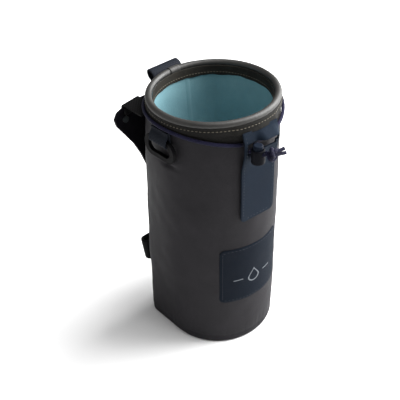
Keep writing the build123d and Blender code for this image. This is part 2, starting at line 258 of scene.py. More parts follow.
# %% Weave group
weave_group, group_in, group_out = start_group(
    "woven_threads",
    [("Vector", "NodeSocketVector", None), ("Threads", "NodeSocketFloat", 1500.0)],
    [("Height", "NodeSocketFloat")],
)
threads = group_in.outputs["Threads"]
flat = add_node(
    weave_group, "ShaderNodeSeparateXYZ", links={"Vector": group_in.outputs["Vector"]}
)
waves = []
for axis in ("X", "Y"):
    along = math_node(weave_group, "MULTIPLY", flat.outputs[axis], threads)
    wave = math_node(weave_group, "SINE", math_node(weave_group, "MULTIPLY", along, pi))
    waves.append(math_node(weave_group, "ABSOLUTE", wave))
over = add_node(
    weave_group,
    "ShaderNodeTexChecker",
    links={"Vector": group_in.outputs["Vector"], "Scale": threads},
)
top = add_node(
    weave_group,
    "ShaderNodeMix",
    links={"Factor": over.outputs["Fac"], "A": waves[0], "B": waves[1]},
)
weave_group.links.new(top.outputs["Result"], group_out.inputs["Height"])
print("the weave group has", len(weave_group.nodes), "nodes")

# %% [markdown]
# Real cloth is never one even colour. Handling, dust and dye make soft cloudy patches,
# with small specks in them. The mottle group mixes a coarse and a fine noise into one
# mask between 0 and 1, and gives out the fine one by itself too.

# %% Mottle group
mottle_group, group_in, group_out = start_group(
    "cloudy_patches",
    [
        ("Vector", "NodeSocketVector", None),
        ("Patches", "NodeSocketFloat", 35.0),
        ("Specks", "NodeSocketFloat", 900.0),
    ],
    [("Mask", "NodeSocketFloat"), ("Specks", "NodeSocketFloat")],
)
patches = add_node(
    mottle_group,
    "ShaderNodeTexNoise",
    {"Detail": 5.0, "Roughness": 0.6},
    {"Vector": group_in.outputs["Vector"], "Scale": group_in.outputs["Patches"]},
)
specks = add_node(
    mottle_group,
    "ShaderNodeTexNoise",
    {"Detail": 2.0, "Roughness": 0.5},
    {"Vector": group_in.outputs["Vector"], "Scale": group_in.outputs["Specks"]},
)
weak_specks = math_node(mottle_group, "MULTIPLY_ADD", specks.outputs["Fac"], 0.35, -0.17)
mixed = math_node(mottle_group, "ADD", patches.outputs["Fac"], weak_specks)
spread = add_node(
    mottle_group, "ShaderNodeMapRange", {"From Min": 0.3, "From Max": 0.7}, {"Value": mixed}
)
mottle_group.links.new(spread.outputs["Result"], group_out.inputs["Mask"])
mottle_group.links.new(specks.outputs["Fac"], group_out.inputs["Specks"])
print("the mottle group has", len(mottle_group.nodes), "nodes")


# %% [markdown]
# ## Two recipes for finishes
# Every cloth here uses the same recipe with its own numbers: a dark and a light colour
# mixed by the mottle mask, a weave that raises the surface, painted shade in the weave's
# hollows with a painted highlight on its threads, and soft wrinkles under it.
# Moulded plastic and metal use a second recipe with a fine grain in place of the weave.
# Both start in the same way. Numbers that are the same all over are typed straight onto
# the shader's sockets.


# %% Start of a finish
def opaque(color):
    return (*color, 1.0)


def start_finish(name, dark, light, rough, values=()):
    """A material whose colour and roughness follow the mottle mask."""
    material = bpy.data.materials.new(name)
    material.use_nodes = True
    tree = material.node_tree
    shader = tree.nodes["Principled BSDF"]
    where = add_node(tree, "ShaderNodeTexCoord")
    mottle = add_node(
        tree,
        "ShaderNodeGroup",
        values,
        {"Vector": where.outputs["Object"]},
        node_tree=mottle_group,
    )
    cloudy = add_node(
        tree,
        "ShaderNodeMix",
        {6: opaque(dark), 7: opaque(light)},
        {0: mottle.outputs["Mask"]},
        data_type="RGBA",
    )
    roughness = add_node(
        tree,
        "ShaderNodeMapRange",
        {"To Min": rough[0], "To Max": rough[1]},
        {"Value": mottle.outputs["Mask"]},
    )
    tree.links.new(cloudy.outputs[2], shader.inputs["Base Color"])
    tree.links.new(roughness.outputs["Result"], shader.inputs["Roughness"])
    return material, where, mottle, cloudy


def raise_surface(tree, strength, distance, links):
    """Adds a Bump node and gives its normal to the shader; a later one takes over."""
    values = {"Strength": strength, "Distance": distance}
    bump = add_node(tree, "ShaderNodeBump", values, links)
    shader = tree.nodes["Principled BSDF"]
    tree.links.new(bump.outputs["Normal"], shader.inputs["Normal"])
    return bump


# %% Cloth recipe
def cloth(name, dark, light, threads=1500.0, weave=0.25, rough=(0.6, 0.8), **shine):
    """A woven or coated cloth; shine holds values for the shader's own sockets."""
    material, where, mottle, cloudy = start_finish(name, dark, light, rough)
    tree = material.node_tree
    shader = tree.nodes["Principled BSDF"]
    woven = add_node(
        tree,
        "ShaderNodeGroup",
        {"Threads": threads},
        {"Vector": where.outputs["UV"]},
        node_tree=weave_group,
    )
    # Painted shade in the hollows between threads and a painted highlight on their tops.
    shade = math_node(tree, "MULTIPLY_ADD", woven.outputs["Height"], 0.35, 0.78)
    colour = add_node(
        tree,
        "ShaderNodeMix",
        {0: 1.0},
        {6: cloudy.outputs[2], 7: shade},
        data_type="RGBA",
        blend_type="MULTIPLY",
    )
    tree.links.new(colour.outputs[2], shader.inputs["Base Color"])
    wrinkle = raise_surface(tree, 0.25, 0.4 * mm, {"Height": mottle.outputs["Mask"]})
    thread_links = {"Height": woven.outputs["Height"], "Normal": wrinkle.outputs["Normal"]}
    raise_surface(tree, weave, 0.15 * mm, thread_links)
    for key, value in shine.items():
        shader.inputs[key.replace("_", " ")].default_value = value
    return material


# %% Moulded recipe
def moulded(name, dark, light, grain=2500.0, relief=0.12, **shine):
    """Plastic or metal with a fine grain."""
    values = {"Patches": 220.0, "Specks": grain}
    material, _, mottle, _ = start_finish(name, dark, light, (0.5, 0.65), values)
    tree = material.node_tree
    raise_surface(tree, relief, 0.1 * mm, {"Height": mottle.outputs["Specks"]})
    for key, value in shine.items():
        tree.nodes["Principled BSDF"].inputs[key.replace("_", " ")].default_value = value
    return material


# %% [markdown]
# ## The pouch's finishes
# The outside is a charcoal coated cloth, matt with a slight sheen. The rim is a smoother
# binding that catches the light on its crest. The lining is a thin pale blue coated
# cloth. Webbing has thick threads, so its weave is coarse, and the braided cord is
# finer. Colours are linear values, which look darker as numbers than on the screen.
# After a cloth's two colours come its threads in a metre, how strongly they stand out and
# its lowest and highest roughness; after a plastic's come its grain and the grain's relief.

# %% Finishes
coat = {"IOR": 1.25, "Specular_IOR_Level": 0.25}
satin = {"IOR": 1.22, "Specular_IOR_Level": 0.2}
shell_cloth = cloth(
    "charcoal_cloth",
    (0.014, 0.0132, 0.0152),
    (0.0212, 0.02, 0.0226),
    1700.0,
    0.2,
    (0.55, 0.68),
    **coat,
)
rim_cloth = cloth(
    "rim_binding_cloth",
    (0.018, 0.0172, 0.0155),
    (0.031, 0.0295, 0.0265),
    1900.0,
    0.15,
    (0.46, 0.6),
)
# The flange is the roll's own binding; this darker copy of its finish is painted shade for
# where it lies under the roll.
flange_painted_shade_cloth = cloth(
    "rim_flange_painted_shade",
    (0.008, 0.0077, 0.007),
    (0.0145, 0.0138, 0.0125),
    1900.0,
    0.15,
    (0.6, 0.75),
    **coat,
)
tape_cloth = cloth(
    "collar_tape", (0.010, 0.010, 0.0095), (0.016, 0.015, 0.014), 1300.0, 0.5, **coat
)
facing_cloth = cloth(
    "facing_tape", (0.017, 0.0155, 0.0135), (0.034, 0.031, 0.026), 1200.0, 0.5, **coat
)
lining_cloth = cloth(
    "blue_lining", (0.155, 0.295, 0.335), (0.2, 0.36, 0.4), 2200.0, 0.12, (0.3, 0.42)
)
navy_cloth = cloth(
    "navy_strip",
    (0.0055, 0.0098, 0.0175),
    (0.0085, 0.014, 0.0235),
    2000.0,
    0.2,
    (0.7, 0.85),
    **coat,
)
patch_cloth = cloth(
    "navy_patch",
    (0.003, 0.0056, 0.0108),
    (0.0048, 0.008, 0.014),
    2000.0,
    0.25,
    (0.7, 0.85),
    **coat,
)
black_webbing = cloth(
    "black_webbing", (0.003, 0.003, 0.0035), (0.007, 0.007, 0.0075), 800.0, 0.8, **coat
)
navy_webbing = cloth(
    "navy_webbing", (0.0065, 0.008, 0.0125), (0.0115, 0.014, 0.0195), 800.0, 0.8, **coat
)
strap_webbing = cloth(
    "ear_strap_webbing", (0.003, 0.003, 0.0035), (0.008, 0.0078, 0.0078), 800.0, 0.8, **coat
)
cord_braid = cloth(
    "braided_cord", (0.007, 0.007, 0.022), (0.018, 0.018, 0.042), 900.0, 0.9, (0.4, 0.6), **coat
)
dark_thread = cloth("seam_thread", (0.08, 0.069, 0.046), (0.14, 0.122, 0.088), 4000.0, 0.5)
navy_thread = cloth("navy_thread", (0.02, 0.028, 0.042), (0.03, 0.04, 0.058), 4000.0, 0.5)
pale_print = cloth("pale_print", (0.1, 0.115, 0.135), (0.15, 0.17, 0.19), 2000.0, 0.1)
foam_face = cloth("foam_face", (0.5, 0.5, 0.48), (0.6, 0.6, 0.57), 600.0, 0.1)
black_plastic = moulded(
    "black_plastic", (0.0015, 0.0015, 0.002), (0.003, 0.003, 0.0036), **satin
)
lock_plastic = moulded("lock_plastic", (0.002, 0.0022, 0.004), (0.004, 0.0044, 0.007), **satin)
navy_plastic = moulded("navy_plastic", (0.004, 0.0065, 0.013), (0.007, 0.011, 0.02), **satin)
plate_skin = moulded(
    "plate_skin", (0.0025, 0.0022, 0.0035), (0.005, 0.0045, 0.0062), 1600.0, 0.3, **satin
)
steel = moulded("spring_steel", (0.4, 0.4, 0.4), (0.5, 0.5, 0.5), 3000.0, 0.05, Metallic=1.0)
rivet_metal = moulded("dark_rivet", (0.03, 0.036, 0.038), (0.06, 0.07, 0.073), Metallic=1.0)
print(len(bpy.data.materials), "materials")

# %% [markdown]
# ## The outer shell
# The shell is one cloth that goes all the way round, closed below by a sewn tray. Its
# lower edge is round, so the first millimetres of the flat cloth run along an arc. The
# cloth is drawn tight over foam, but it is not perfect: it swells a little between its
# seams, it puckers above the base seam, and each side ring's stitching pulls a crease
# into it. `swell` adds these in fractions of a millimetre.

# %% How the shell's cloth swells
base_edge = 2.2 * mm
edge_arc = base_edge * pi / 2
round_length = 2 * pi * shell_radius
crease_turn = 86
crease_level = 174.5 * mm
dent_level = 169.5 * mm


def clamp(value):
    return max(0.0, min(1.0, value))


def hill(value, middle, width):
    return exp(-(((value - middle) / width) ** 2))


def noise_round(turn, rate, up):
    """Noise that meets itself after a full turn, so that no seam opens at the back."""
    return noise.noise(Vector((rate * sin(radians(turn)), rate * cos(radians(turn)), up)))


def swell(turn, level):
    """How far the cloth stands out from the plain wall."""
    soft = 0.55 * mm * noise_round(turn, 1.7, level / 0.03)
    soft += 0.25 * mm * noise_round(turn, 4.1, level / 0.012)
    seam = -0.5 * mm * hill(level, tray_top, 0.7 * mm)
    pucker = noise_round(turn, 31.5, level / 0.03 + 30)
    pucker *= 0.25 * mm * hill(level, 9 * mm, 9 * mm)
    crease = 1.8 * mm * hill(level, crease_level, 2.6 * mm)
    crease -= 2.0 * mm * hill(level, dent_level, 1.7 * mm)
    crease *= hill(turn, -crease_turn, 9) + hill(turn, crease_turn, 9)
    share = clamp((level - tray_top) / (shell_top - tray_top))
    padding = 0.75 * mm * (1 - share**10) * min(1.0, 4 * share)
    corner = 1.5 * mm * (1 - share**9) * min(1.0, 1.7 * share) * hill(abs(turn), 132, 17)
    top = min(1.0, (shell_top - level) / (12 * mm))
    bottom = min(1.0, level / (5 * mm))
    return (soft + pucker) * max(0.0, top) * bottom + padding + corner + seam + crease


def shell_place(x, y):
    turn = degrees(x / shell_radius)
    if y < edge_arc:
        bend_angle = y / base_edge
        out = -base_edge * (1 - sin(bend_angle))
        return wall_point(turn, base_edge * (1 - cos(bend_angle)), out)
    level = y - edge_arc + base_edge
    return wall_point(turn, level, swell(turn, level))


print("the cloth is", round(round_length / mm), "mm round")

# %% [markdown]
# The rows have to be close together near the base, where the arc and the seam are, and
# can be wider above. An even grid with many rows is the simplest cloth that can do both.
# The hole left at the bottom is filled with one face, which is then inset.

# %% Shell
cloth_height = shell_top - base_edge + edge_arc
bm = cut_cloth(round_length, 0, cloth_height, columns_round, up=136)
bend(bm, shell_place)
low_edges = [e for e in bm.edges if e.is_boundary and e.verts[0].co.z < 1 * mm]
bmesh.ops.holes_fill(bm, edges=low_edges)
bottom = [f for f in bm.faces if len(f.verts) > 4]
bmesh.ops.inset_region(bm, faces=bottom, thickness=2 * mm)
pouch_shell = make_piece(
    "pouch_shell", bm, shell_cloth, "shell_fabric", ("outer_shell", "base_panel")
)
add_wall(pouch_shell, 1.1 * mm, -1)

# %% [markdown]
# ## The lining and the facing
# The lining is a second, smaller tube with its own floor. We see its inner face, so its
# thickness grows outwards, towards the foam. It hangs a little loose, with shallow
# upright folds and one upright seam at the back. A dark tape is sewn over its top edge.


# %% Lining
def lining_place(x, y):
    turn = degrees(x / shell_radius)
    fold = -0.7 * mm * max(0.0, noise_round(turn, 2.6, y / 0.09 + 70))
    fold *= min(1.0, (shell_top - y) / 0.02)
    seam = 0.5 * mm * hill(turn, 165, 0.8)
    return wall_point(turn, y, -lining_inset + 0.05 * mm + fold - seam)


floor_level = tray_top + 0.85 * mm
bm = cut_cloth(round_length, floor_level, shell_top - 0.2 * mm, columns_round, up=72)
bend(bm, lining_place)
low_edges = [
    e for e in bm.edges if e.is_boundary and e.verts[0].co.z < floor_level + 1 * mm
]
bmesh.ops.holes_fill(bm, edges=low_edges)
lining = make_piece(
    "lining", bm, lining_cloth, "lining", ("lining_wall", "lining_floor")
)
add_wall(lining, 0.5 * mm, 1, 0.1 * mm)

# %% Facing tape
facing_depth = 7.1 * mm


def facing_place(x, y):
    turn = degrees(x / shell_radius)
    ripple = 0.15 * mm * noise_round(turn, 7.8, y / 0.01 + 10)
    low = max(0.0, (shell_top - y) / facing_depth)
    y += 1.1 * mm * low * noise_round(turn, 4.3, 80)
    return wall_point(turn, y, -lining_inset - 0.6 * mm - ripple)


facing_low = shell_top - facing_depth
bm = cut_cloth(round_length, facing_low, shell_top + 0.8 * mm, columns_round, up=8)
bend(bm, facing_place)
facing = make_piece("facing", bm, facing_cloth, "tape", ("inner_facing",))
add_wall(facing, 0.6 * mm, 1, 0.15 * mm)

# %% [markdown]
# ## The padded rim roll
# A strip of binding is wrapped round a stiff cord and foam, which makes a roll. We spin a
# small circle round the mouth's axis with the spin operator. Cloth that goes round the
# inside of a curve is too long there, so it wrinkles across the roll: noise that changes
# quickly along the rim and slowly round its section gives those wrinkles.

# %% Rim roll
bm = bmesh.new()
upright = Matrix.Translation((roll_ring, 0, roll_level)) @ Matrix.Rotation(pi / 2, 4, "X")
bmesh.ops.create_circle(bm, segments=24, radius=roll_radius, matrix=upright)
section = bm.verts[:] + bm.edges[:]
bmesh.ops.spin(bm, geom=section, axis=(0, 0, 1), angle=2 * pi, steps=300, use_merge=True)
bmesh.ops.remove_doubles(bm, verts=bm.verts, dist=0.00001)
bmesh.ops.recalc_face_normals(bm, faces=bm.faces)


def puff_roll(vert):
    """Moves a vertex of the roll in or out from the roll's centre line."""
    turn = atan2(vert.co.x, -vert.co.y)
    centre = Vector((roll_ring * sin(turn), -roll_ring * cos(turn), roll_level))
    out = vert.co - centre
    inner = 0.5 - 0.5 * out.normalized().dot(centre.normalized())
    wrinkle = noise_round(degrees(turn), 42, out.z * 160 + 20)
    slow = noise_round(degrees(turn), 5, out.z * 60 + 90)
    grow = 1 + 0.03 * slow + (0.03 + 0.06 * inner) * wrinkle
    vert.co = centre + grow * out
    vert.co.z = max(vert.co.z, shell_top - 0.2 * mm)


for vert in bm.verts:
    puff_roll(vert)
rim_roll = make_piece("rim_roll", bm, rim_cloth, "binding", ("rim_binding",))

# %% [markdown]
# The binding's two ends meet at the back, where one is folded over the other. A short
# spin of a slightly larger section makes that lap, and a Solidify modifier gives its
# folded edges some thickness.

# %% Rim lap
lap_turn = 172
lap_width = 11
bm = bmesh.new()
lap_section = Matrix.Rotation(radians(lap_turn - 90), 4, "Z") @ upright
bmesh.ops.create_circle(bm, segments=24, radius=roll_radius * 1.08, matrix=lap_section)
section = bm.verts[:] + bm.edges[:]
bmesh.ops.spin(bm, geom=section, axis=(0, 0, 1), angle=radians(lap_width), steps=14)
under = [v for v in bm.verts if v.co.z < shell_top + 0.2 * mm]
bmesh.ops.delete(bm, geom=under, context="VERTS")
bmesh.ops.recalc_face_normals(bm, faces=bm.faces)
for vert in bm.verts:
    puff_roll(vert)
rim_lap = make_piece("rim_lap", bm, rim_cloth, "binding")
add_wall(rim_lap, 0.35 * mm, 1, 0.12 * mm)


# %% [markdown]
# ## The collar tape
# Outside, under the roll, a narrow tape covers the seam. Its lower edge follows the draw
# cord, which is high at the sides and dips to the front. So we first need the cord's own
# level and its distance from the axis, which the tape and several later pieces share.

# %% Where the draw cord runs
cord_radius = 1.25 * mm
cord_side_level = 200.2 * mm
cord_front_level = 190.0 * mm
cord_rear_level = 198.6 * mm
cord_ring = shell_radius + 1.85 * mm
cord_swell = 0.5 * mm
cord_front_ring = wall_front(cord_front_level) + cord_radius + 0.1 * mm


def cord_level(turn):
    forward = cos(radians(turn))
    end = cord_front_level if forward > 0 else cord_rear_level
    return cord_side_level + (end - cord_side_level) * forward**2


def cord_reach(turn):
    forward = max(0.0, cos(radians(turn)))
    behind = max(0.0, -cos(radians(turn)))
    pull = (cord_front_ring - cord_ring) * forward**8
    return cord_ring + cord_swell * min(1.0, 2 * behind) + pull


print("the cord dips", round((cord_side_level - cord_front_level) / mm, 1), "mm in front")

# %% Collar tape
collar_top = 201.5 * mm
collar_low = shell_top - 10.9 * mm
below_cord = 3.2 * mm


def collar_place(x, y):
    """y runs from 0 at the lower edge to 1 at the top."""
    turn = degrees(x / shell_radius)
    low = max(cord_level(turn) - below_cord, collar_low)
    level = low + (collar_top - low) * y
    ripple = 0.05 * mm * noise_round(turn, 5.8, y + 50)
    return wall_point(turn, level, 0.1 * mm + ripple)


bm = cut_cloth(round_length, 0, 1, columns_round, up=5)
bend(bm, collar_place)
collar = make_piece("collar_tape", bm, tape_cloth, "tape", ("collar_band",))
add_wall(collar, 0.35 * mm, 1, 0.1 * mm)

# %% [markdown]
# The binding does not end under the roll. Its outer edge runs on as a flat flange, under
# 7 mm deep, and is stitched there, so the rim looks like a crest with a band below it. The
# flange's darker finish is painted shade under the roll.
# Where the front strip hangs from under the flange, the flange stands out over it.

# %% Binding flange
flange_low = 199.6 * mm
flange_top = roll_level - 0.8 * mm
strip_turn = radians(-3.5)
strip_width = 30.0 * mm
spill = 6.5 * mm


def over_strip(turn):
    """1 where the front strip lies under the flange, 0 beside it."""
    across = abs((turn - strip_turn + pi) % (2 * pi) - pi) * shell_radius
    share = clamp((strip_width / 2 + spill - across) / (6 * mm))
    return share * share * (3 - 2 * share)


def flange_level(y):
    """y runs from 0 at the flange's lower edge to 1 at its top."""
    return flange_low + y * (flange_top - flange_low)


def flange_reach(turn, y):
    """Distance of the flange's outer face from the axis."""
    lift = 0.15 * mm + 1.75 * mm * over_strip(turn)
    return shell_radius + 0.75 * mm + lift * (1 - y)


def flange_place(x, y):
    turn = x / shell_radius
    ripple = noise_round(degrees(turn), 22, y * 1.5 + 60)
    level = flange_level(y) + 0.25 * mm * (1 - y) * ripple
    reach = flange_reach(turn, y) + 0.08 * mm * ripple
    return Vector((reach * sin(turn), -reach * cos(turn), level))


bm = cut_cloth(round_length, 0, 1, across=240, up=6)
bend(bm, flange_place)
flange = make_piece("binding_flange", bm, flange_painted_shade_cloth, "binding")
add_wall(flange, 0.5 * mm, -1, 0.2 * mm)

# %% [markdown]
# ## Stitches
# A seam is a row of short raised threads. Each stitch is a small icosphere of 20 faces,
# stretched along the seam and sunk halfway into the cloth, so hundreds of them cost
# little. `sew` takes the seam as a function of a length and places one every few
# millimetres.

# %% Stitch helper
stitch_pitch = 2.6 * mm
coarse = (1.0 * mm, 0.32 * mm, 0.32 * mm, 1)
fine = (0.8 * mm, 0.16 * mm, 0.16 * mm, 1)


def sew(name, seam, start, stop, outward, size, slot, thread):
    """Puts stitches along seam(length); outward(point) is the cloth's normal there."""
    bm = bmesh.new()
    count = int((stop - start) / stitch_pitch)
    for i in range(count):
        here = start + (stop - start) * (i + 0.5) / count
        step = 0.2 * (stop - start) / count
        point = seam(here)
        along = (seam(here + step) - seam(here - step)).normalized()
        normal = outward(point).normalized()
        turn = Matrix((along, normal.cross(along), normal)).transposed().to_4x4()
        place = Matrix.Translation(point) @ turn @ Matrix.Diagonal(size)
        bmesh.ops.create_icosphere(bm, subdivisions=1, radius=1, matrix=place)
    make_piece(name, bm, thread, slot)


def from_axis(point):
    return Vector((point.x, point.y, 0))


def to_axis(point):
    return -from_axis(point)


# %% Rim stitches
stitch_share = 0.6


def rim_seam(length):
    """The stitches lie a little over half way up the flange."""
    turn = length / shell_radius
    reach = flange_reach(turn, stitch_share) + 0.05 * mm
    return Vector((reach * sin(turn), -reach * cos(turn), flange_level(stitch_share)))


def facing_seam(length):
    turn = degrees(length / shell_radius)
    return wall_point(turn, shell_top - 4.6 * mm, -lining_inset - 0.7 * mm)


sew("rim_stitches", rim_seam, 0, round_length, from_axis, coarse, "tape", dark_thread)
sew("facing_stitches", facing_seam, 0, round_length, to_axis, coarse, "tape", dark_thread)

# %% [markdown]
# ## The front strip
# A flat navy strip hangs down the front from under the rim's flange. It is flat across,
# so its edges stand away from the round wall, and it is held out a little by the cord
# behind it. In its upper part is a slot for the cord's lock. Above the slot, the cords
# have pulled the cloth out into a small arch, like a hood over the lock.

# %% Shape of the front strip
strip_low = 125.5 * mm
strip_top = 200.5 * mm
slot_low = 184.5 * mm
slot_high = 192.5 * mm
slot_half = 12.5 * mm
over_cord = cord_front_ring + cord_radius + 0.35 * mm
strip_line = [
    (strip_low - 10 * mm, wall_front(strip_low - 10 * mm)),
    (170 * mm, wall_front(170 * mm) + 0.1 * mm),
    (184.5 * mm, over_cord),
    (194.0 * mm, over_cord),
    (199.0 * mm, shell_radius + 0.5 * mm),
    (215 * mm, shell_radius + 0.3 * mm),
]


def line_at(line, level):
    """Reads a line of (level, distance) pairs."""
    for (low, near), (high, far) in zip(line, line[1:]):
        if level <= high:
            return near + (far - near) * (level - low) / (high - low)
    return line[-1][1]


def strip_out(level):
    """The strip's distance from the axis, with its bends eased."""
    shifts = (-3 * mm, -1.5 * mm, 0, 1.5 * mm, 3 * mm)
    return sum(line_at(strip_line, level + shift) for shift in shifts) / len(shifts)


hood_middle = 5.5 * mm
hood_half = 9.0 * mm
hood_rise = 7.5 * mm
hood_reach = 5.2 * mm


def hood(x, level):
    """The arch over the slot's upper lip."""
    if level < (slot_low + slot_high) / 2:
        return 0.0
    rise = clamp((strip_top - 0.8 * mm - level) / hood_rise)
    off = min(1.0, abs(x - hood_middle) / hood_half)
    across = min(1.0, 1.5 * cos(off * pi / 2))
    return hood_reach * across * rise**1.3


def on_strip(x, level, out=0.0):
    """A point of the strip, x across from its middle."""
    bow = 0.35 * mm * noise.noise(Vector((x / 0.02, level / 0.03, 4.0)))
    reach = strip_out(level) + hood(x, level) + out + bow
    point = Vector((x, -reach, level))
    return Matrix.Rotation(strip_turn, 3, "Z") @ point


print("the strip stands", round((strip_out(0.19) - wall_front(0.19)) / mm, 1), "mm out")

# %% [markdown]
# The strip is cut like paper. We start with a single face, round its two lower corners
# with a vertex bevel, and score it with `bisect_plane` wherever it has to bend or where
# the slot's sides are. The faces inside the slot are then deleted.


# %% Cutting helper
def score(bm, axis, places):
    """Cuts the flat cloth along lines square to an axis."""
    normal = Vector((1, 0, 0)) if axis == "x" else Vector((0, 1, 0))
    for place in places:
        everything = bm.verts[:] + bm.edges[:] + bm.faces[:]
        bmesh.ops.bisect_plane(
            bm, geom=everything, dist=0.000001, plane_co=normal * place, plane_no=normal
        )


def cut_rounded(width, low, high, corner, step, top_too=True):
    """A flat face with rounded corners, scored into small cells."""
    bm = cut_cloth(width, low, high, across=1, up=1)
    chosen = [v for v in bm.verts if top_too or v.co.y < (low + high) / 2]
    bmesh.ops.bevel(
        bm,
        geom=chosen,
        offset=corner,
        offset_type="OFFSET",
        affect="VERTICES",
        segments=6,
        profile=0.5,
        material=-1,
    )
    columns = int(width / step)
    rows = int((high - low) / step)
    score(bm, "x", [-width / 2 + width * i / columns for i in range(1, columns)])
    score(bm, "y", [low + (high - low) * i / rows for i in range(1, rows)])
    return bm


# %% Front strip
bm = cut_rounded(strip_width, strip_low, strip_top, 4 * mm, 1.5 * mm, top_too=False)
score(bm, "x", [-slot_half, slot_half])
score(bm, "y", [slot_low, slot_high])
inside = [
    face
    for face in bm.faces
    if abs(face.calc_center_median().x) < slot_half
    and slot_low < face.calc_center_median().y < slot_high
]
bmesh.ops.delete(bm, geom=inside, context="FACES")
bend(bm, on_strip)
strip = make_piece("front_strip", bm, navy_cloth, "navy_fabric", ("front_panel",))
add_wall(strip, 1.2 * mm, 1, 0.35 * mm)

# %% Strip stitches
strip_face = 1.22 * mm


def strip_edge(side):
    return lambda length: on_strip(side * (strip_width / 2 - 2 * mm), length, strip_face)


def strip_foot(length):
    return on_strip(length, strip_low + 2.2 * mm, strip_face)


def to_front(point):
    return Vector((0, -1, 0))


strip_seams = {
    "left": (strip_edge(-1), strip_low + 5 * mm, strip_top - 2 * mm),
    "right": (strip_edge(1), strip_low + 5 * mm, strip_top - 2 * mm),
    "foot": (strip_foot, -10 * mm, 10 * mm),
}
for name, seam in strip_seams.items():
    sew("strip_stitches_" + name, *seam, to_front, fine, "navy_fabric", navy_thread)

# %% [markdown]
# ## The patch with its mark
# Lower down, a navy patch is sewn onto the round wall. Its mark is a plain drop between
# two short lines, which says only that the pouch holds a drink. The patch is scored and
# bent round the wall; the mark is a thin print just above it.

# %% Patch
patch_turn = -5.7
patch_width = 50.0 * mm
patch_low = 46.0 * mm
patch_high = 100.0 * mm


def on_patch(x, level, out=0.0):
    turn = patch_turn + degrees(asin(x / wall_front(level)))
    puff = 0.25 * mm * noise.noise(Vector((x / 0.012, level / 0.012, 6.0)))
    return wall_point(turn, level, 0.3 * mm + puff + out)


bm = cut_rounded(patch_width, patch_low, patch_high, 4 * mm, 2 * mm)
bend(bm, on_patch)
patch = make_piece("patch", bm, patch_cloth, "patch", ("label_patch",))
add_wall(patch, 0.9 * mm, 1, 0.4 * mm)

# %% Patch stitches
patch_face = 0.95 * mm
seam_inset = 2 * mm
seam_corner = 3 * mm
half_seam = patch_width / 2 - seam_inset
seam_height = patch_high - patch_low - 2 * seam_inset
seam_runs = (2 * (half_seam - seam_corner), seam_height - 2 * seam_corner)
seam_arc = seam_corner * pi / 2
seam_length = 2 * sum(seam_runs) + 4 * seam_arc


def patch_edge(length):
    """A seam round the patch, in from its edge, as one closed loop."""
    length %= seam_length
    spot = Vector((seam_corner - half_seam, patch_low + seam_inset))
    for i in range(4):
        ahead = Vector((cos(i * pi / 2), sin(i * pi / 2)))
        left = Vector((-ahead.y, ahead.x))
        spot = spot + ahead * min(length, seam_runs[i % 2])
        length = max(0.0, length - seam_runs[i % 2])
        bend_angle = min(length, seam_arc) / seam_corner
        spot = spot + left * seam_corner * (1 - cos(bend_angle))
        spot = spot + ahead * seam_corner * sin(bend_angle)
        length = max(0.0, length - seam_arc)
    return on_patch(spot.x, spot.y, patch_face)


sew("patch_stitches", patch_edge, 0, seam_length, from_axis, fine, "patch", navy_thread)

# %% [markdown]
# The drop starts as two circles, one inside the other, bridged to make a ring. Pulling
# the top vertices up to a point turns it into a drop. The two lines are long thin grids.

# %% Mark
mark_level = 67.0 * mm
drop_radius = 5.0 * mm
drop_line = 1.0 * mm
bm = bmesh.new()
for radius in (drop_radius, drop_radius - drop_line):
    bmesh.ops.create_circle(bm, segments=32, radius=radius)
bmesh.ops.bridge_loops(bm, edges=bm.edges[:])
for vert in bm.verts:
    height = max(0.0, vert.co.y) / drop_radius
    vert.co.x *= 1 - 0.97 * height**1.6
    vert.co.y += 4.0 * mm * height**1.5
for side in (-1, 1):
    before = set(bm.verts)
    bmesh.ops.create_grid(bm, x_segments=8, y_segments=1, size=0.5)
    line = [v for v in bm.verts if v not in before]
    bmesh.ops.scale(bm, vec=(7 * mm, 0.8 * mm, 1), verts=line)
    bmesh.ops.translate(bm, vec=(side * 12.5 * mm, 1 * mm, 0), verts=line)
bmesh.ops.translate(bm, vec=(0, mark_level, 0), verts=bm.verts)
bm.normal_update()
bmesh.ops.reverse_faces(bm, faces=[face for face in bm.faces if face.normal.z < 0])
bend(bm, lambda x, y: on_patch(x, y, patch_face))
mark = make_piece("patch_mark", bm, pale_print, "patch")
add_wall(mark, 0.08 * mm, 1, 0.02 * mm)

# %% [markdown]
# ## The draw cord
# The cord goes round under the roll, behind the strip, and out through the slot. A cord
# bends smoothly everywhere, so it is a NURBS curve with a round bevel, guided by a few
# control points. We turn the curve into a mesh at once, which keeps its UV map for the
# braid.


# %% Cord helper
def cord_mesh(name, lines, radius, cyclic=False):
    """A mesh tube along smooth curves that control points guide."""
    curve = bpy.data.curves.new(name, "CURVE")
    curve.dimensions = "3D"
    curve.bevel_depth = radius
    curve.bevel_resolution = 5
    curve.use_fill_caps = True
    for points in lines:
        spline = curve.splines.new("NURBS")
        spline.points.add(len(points) - 1)
        for control, point in zip(spline.points, points):
            control.co = (*point, 1.0)
        spline.order_u = 3
        spline.use_endpoint_u = not cyclic
        spline.use_cyclic_u = cyclic
        spline.resolution_u = 10
    holder = bpy.data.objects.new(name + "_line", curve)
    mesh = bpy.data.meshes.new_from_object(holder)
    bpy.data.objects.remove(holder)
    bm = bmesh.new()
    bm.from_mesh(mesh)
    bpy.data.meshes.remove(mesh)
    bmesh.ops.remove_doubles(bm, verts=bm.verts, dist=0.00001)
    bmesh.ops.recalc_face_normals(bm, faces=bm.faces)
    return bm


# %% Draw cord loop
lock_side = -7.9 * mm
half_pair = cord_radius + 0.05 * mm
loop_start = degrees(strip_turn + asin((lock_side + 2 * half_pair) / cord_ring))
loop_end = 360 + degrees(strip_turn + asin((lock_side - 2 * half_pair) / cord_ring))
cord_points = 14
step = (loop_end - loop_start) / cord_points
swing = 1 / cos(radians(step / 2))


def on_cord(turn, reach):
    x, y = reach * sin(radians(turn)), -reach * cos(radians(turn))
    return Vector((x, y, cord_level(turn)))


